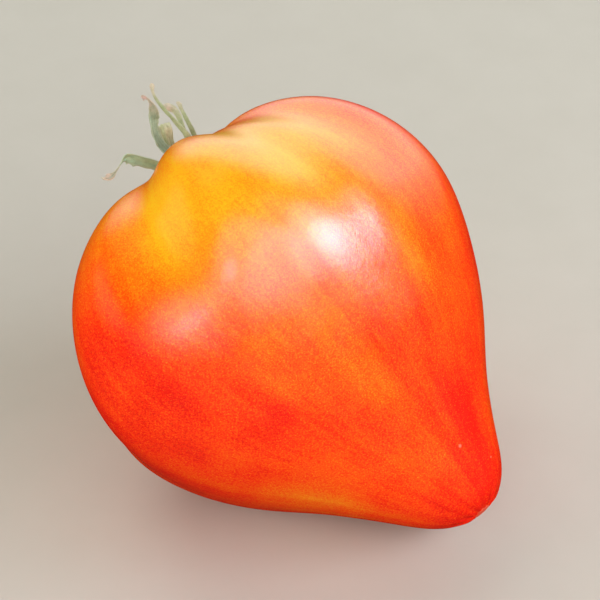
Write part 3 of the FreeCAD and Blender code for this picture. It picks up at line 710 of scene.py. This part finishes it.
# The stalk's profile: millimetres from its foot, and radius.
STALK_PROFILE = [(0.0, 1.9), (1.5, 1.75), (4.0, 1.2), (8.0, 1.15), (12.0, 1.25), (13.0, 1.7),
                 (14.2, 1.6), (14.9, 1.2)]
STALK_LEAN = 25.0         # degrees off the stem axis, and the way it leans
STALK_TURN = 40.0
STALK_FOOT = 1.8          # mm above the hollow's floor
STALK_BOW = 0.5           # mm that it bows sideways
STALK_COLOURS = [(0.45, 0.52, 0.27), (0.13, 0.15, 0.06), (0.56, 0.57, 0.35)]
STALK_STEPS = 70
STALK_COLUMNS = 48
STALK_RIDGES = 7
RIDGE_TWIST = 1.5         # radians of their wave from the foot to the end
RIDGE_HEIGHT = 0.10       # share of the radius, as is the roughness
STALK_ROUGH = 0.12
ROUGH_ALONG = 0.8         # how quickly the roughness changes along the stalk and around it
ROUGH_AROUND = 1.5
TORN_FROM = 0.93          # share of the length where the ragged end starts
TORN_BY = 0.9             # mm that it sticks out or falls short
TORN_AROUND = 3.0         # how quickly that changes around the stalk
TORN_HOLLOW = 0.3         # mm that the broken end is hollow


def stalk_stub():
    """Broken stalk with ridges, a knuckle and a ragged end, from the disc upwards."""
    lean = math.radians(STALK_LEAN)
    turn = math.radians(STALK_TURN)
    radial = FRUIT_Z * math.cos(turn) + FRUIT_Y * math.sin(turn)
    heading = STEM_AXIS * math.cos(lean) + radial * math.sin(lean)
    foot = SEAT + STEM_AXIS * STALK_FOOT * MM
    side = heading.cross(FRUIT_Y).normalized()
    other = heading.cross(side)
    rows = smooth_through(STALK_PROFILE, STALK_STEPS)
    bm = bmesh.new()
    previous = bm.verts.new((0.0, 1.0, 0.0))
    edges = []
    for step in range(1, STALK_STEPS + 1):
        vert = bm.verts.new((step / STALK_STEPS, 1.0, 0.0))
        edges.append(bm.edges.new((previous, vert)))
        previous = vert
    bmesh.ops.spin(bm, geom=bm.verts[:] + edges, cent=(0, 0, 0), axis=(1, 0, 0), angle=math.tau,
                   steps=STALK_COLUMNS, use_merge=True)
    ribbon = bm.verts.layers.float_vector.new("ribbon")
    for vert in bm.verts:
        step = round(vert.co.x * STALK_STEPS)
        along, radius = rows[step]
        angle = math.atan2(vert.co.z, vert.co.y)
        around = Vector((0.0, math.cos(angle), math.sin(angle)))
        share = step / STALK_STEPS
        ridge = RIDGE_HEIGHT * math.cos(STALK_RIDGES * angle + RIDGE_TWIST * share)
        grained = around * ROUGH_AROUND + Vector((along * ROUGH_ALONG, 0.0, 0.0))
        rough = STALK_ROUGH * noise.noise(grained)
        torn_share = max(0.0, share - TORN_FROM) / (1.0 - TORN_FROM)
        ragged = around * TORN_AROUND + Vector((TORN_AROUND, 0.0, 0.0))
        torn = TORN_BY * torn_share * noise.noise(ragged)
        reach = radius * (1.0 + ridge + rough)
        bow = STALK_BOW * math.sin(share * math.pi)
        vert[ribbon] = (share, angle / math.pi, 0.0)
        vert.co = foot + (heading * (along + torn) + side * (reach * math.cos(angle) + bow)
                          + other * reach * math.sin(angle)) * MM
    rims = [edge for edge in bm.edges if edge.is_boundary]
    caps = bmesh.ops.holes_fill(bm, edges=rims, sides=0)["faces"]
    bmesh.ops.poke(bm, faces=caps, offset=-TORN_HOLLOW * MM)
    bmesh.ops.recalc_face_normals(bm, faces=bm.faces)
    leaf = dried_leaf_material("dried_stalk", *STALK_COLOURS)
    return finished("stalk_stub", bm, leaf, "calyx", ["stalk"])


# ---------------------------------------------------------------- the CAD's own pieces

def dress_nodes():
    """Finishes of the CAD nodes that show or lie inside, each found by a word in its name."""
    finishes = {
        "flesh": fibrous_material(
            "moist_flesh", (0.80, 0.12, 0.05), (0.62, 0.05, 0.02), 260.0, 0.35, 0.0002,
            Subsurface_Weight=0.2, Subsurface_Scale=0.002),
        "core": fibrous_material(
            "pale_core", (0.86, 0.52, 0.33), (0.74, 0.30, 0.16), 300.0, 0.5, 0.0002,
            (0.3, 1.0, 1.0)),
        "gel": fibrous_material(
            "seed_gel", (0.70, 0.40, 0.06), (0.50, 0.20, 0.02), 220.0, 0.2, 0.0001,
            Subsurface_Weight=0.4, Subsurface_Scale=0.003),
        "seeds": fibrous_material(
            "downy_seed", (0.80, 0.66, 0.38), (0.58, 0.42, 0.2), 1500.0, 0.7, 0.0001),
        "stem_scar": fibrous_material(
            "dry_cork", (0.42, 0.28, 0.14), (0.12, 0.07, 0.03), 900.0, 0.85, 0.0003),
        "blossom": fibrous_material(
            "blossom_mark", (0.84, 0.07, 0.012), (0.58, 0.06, 0.015), 1100.0, 0.6, 0.0001),
        "calyx": fibrous_material(
            "dried_disc", (0.32, 0.33, 0.17), (0.10, 0.10, 0.04), 700.0, 0.8, 0.0003),
    }
    for name, made in nodes.items():
        for word, finish in finishes.items():
            if word in name:
                made.data.materials.clear()
                made.data.materials.append(finish)


# ---------------------------------------------------------------- stage

# Camera: azimuth and elevation in degrees, distance in metres, lens and sensor in mm.
CAMERA_AZIMUTH = 43.70
CAMERA_ELEVATION = 37.835
CAMERA_DISTANCE = 0.55
CAMERA_LENS = 155.44
SENSOR_WIDTH = 36.0
# What the camera and the lamps are aimed at.
TARGET = Vector((10.263, -7.805, 55.93)) * MM
FLOOR_REACH = 6.0         # metres from the middle to each side
ROOM_COLOUR = (1.0, 0.92, 0.75, 1.0)
ROOM_STRENGTH = 0.012

# Oval soft lamps: name, azimuth and elevation in degrees, distance, width and height in
# metres, watts, colour, roll in degrees, and whether the peel mirrors it.
LAMPS = [
    ("key", 125.5, 26.3, 1.1, 0.52, 0.33, 4.3, (0.88, 0.85, 1.0), 21, True),
    ("side", 30, 21, 1.1, 0.19, 0.11, 0.42, (0.84, 0.66, 1.0), -58, True),
    ("glow_near", 118, 33, 1.15, 1.2, 0.58, 4.8, (0.98, 0.92, 1.0), 24, True),
    ("glow_middle", 74, 25.5, 1.2, 1.6, 0.77, 4.8, (1.0, 0.96, 0.95), 25, True),
    ("glow_wide", 56, 33, 1.25, 2.1, 1.2, 8.6, (1.0, 0.96, 0.95), 4, True),
    ("glow_high", 88, 49.5, 1.3, 2.0, 0.45, 1.2, (1.0, 0.96, 0.95), 36, True),
    ("back_near", 214, 24, 1.3, 2.4, 1.15, 5.4, (1.0, 1.0, 1.0), 5, True),
    ("back_middle", 214, 24, 1.32, 3.1, 1.65, 5.6, (1.0, 1.0, 1.0), 5, True),
    ("back_wide", 214, 24, 1.34, 3.8, 2.2, 5.8, (1.0, 1.0, 1.0), 5, True),
    ("fill", 320, 12, 1.6, 1.8, 0.6, 17.0, (1.0, 0.98, 0.92), 0, False),
    ("high_fill", 266, 56, 1.6, 1.4, 1.2, 6.5, (0.96, 1.0, 0.94), 0, False),
    ("low_fill", 10, 8, 1.6, 1.2, 0.4, 4.0, (1.0, 0.96, 0.90), 0, False),
]


def direction(azimuth, elevation):
    """Unit vector from the object towards a viewer or lamp."""
    a = math.radians(azimuth)
    e = math.radians(elevation)
    return Vector((math.sin(a) * math.cos(e), -math.cos(a) * math.cos(e), math.sin(e)))


def make_camera():
    """Camera that looks down at the fruit's side, and becomes the scene's own."""
    data = bpy.data.cameras.new("camera")
    data.lens = CAMERA_LENS
    data.sensor_width = SENSOR_WIDTH
    camera = bpy.data.objects.new("camera", data)
    bpy.context.scene.collection.objects.link(camera)
    back = direction(CAMERA_AZIMUTH, CAMERA_ELEVATION)
    camera.location = TARGET + back * CAMERA_DISTANCE
    camera.rotation_euler = back.to_track_quat("Z", "Y").to_euler()
    bpy.context.scene.camera = camera


def softbox(name, azimuth, elevation, distance, width, height, power, colour, roll, mirrored):
    """Oval soft lamp aimed at the fruit; unless mirrored, it leaves no reflection in the peel."""
    data = bpy.data.lights.new(name, "AREA")
    data.shape = "ELLIPSE"
    data.size = width
    data.size_y = height
    data.energy = power
    data.color = colour
    lamp = bpy.data.objects.new(name, data)
    lamp.visible_glossy = mirrored
    bpy.context.scene.collection.objects.link(lamp)
    away = direction(azimuth, elevation)
    aim = away.to_track_quat("Z", "Y") @ Quaternion((0, 0, 1), math.radians(roll))
    lamp.location = TARGET + away * distance
    lamp.rotation_euler = aim.to_euler()


def make_floor():
    """Plain pale floor; the peel doesn't mirror it."""
    bm = bmesh.new()
    bmesh.ops.create_grid(bm, x_segments=1, y_segments=1, size=FLOOR_REACH)
    mesh = bpy.data.meshes.new("floor")
    bm.to_mesh(mesh)
    bm.free()
    mesh.materials.append(floor_material())
    floor = bpy.data.objects.new("floor", mesh)
    bpy.context.scene.collection.objects.link(floor)
    floor.visible_glossy = False


def make_light():
    """Dim warm room and the soft lamps."""
    world = bpy.data.worlds.new("pale_room")
    world.use_nodes = True
    world.node_tree.nodes["Background"].inputs["Color"].default_value = ROOM_COLOUR
    world.node_tree.nodes["Background"].inputs["Strength"].default_value = ROOM_STRENGTH
    bpy.context.scene.world = world
    bpy.context.scene.view_settings.view_transform = "Standard"
    for lamp in LAMPS:
        softbox(*lamp)


# ---------------------------------------------------------------- assembly

dress_nodes()
tomato_skin()

# Finishes of the dried sepals: pale and deep tones, and the blush of the tip.
SEPAL_LEAVES = {
    "green": dried_leaf_material(
        "dried_green_leaf", (0.42, 0.64, 0.42), (0.26, 0.42, 0.27), (0.76, 0.62, 0.50)),
    "grey": dried_leaf_material(
        "dried_grey_leaf", (0.38, 0.52, 0.36), (0.19, 0.29, 0.19), (0.61, 0.42, 0.35)),
    "straw": dried_leaf_material(
        "dried_straw_leaf", (0.50, 0.57, 0.32), (0.27, 0.32, 0.16), (0.62, 0.54, 0.40)),
}
LEAF_OF_SEPAL = ["green", "grey", "straw", "straw", "straw", "green", "grey"]

for number, (route, leaf) in enumerate(zip(SEPALS, LEAF_OF_SEPAL), start=1):
    sepal(number, route, SEPAL_LEAVES[leaf])
stalk_stub()
make_floor()
make_light()
make_camera()
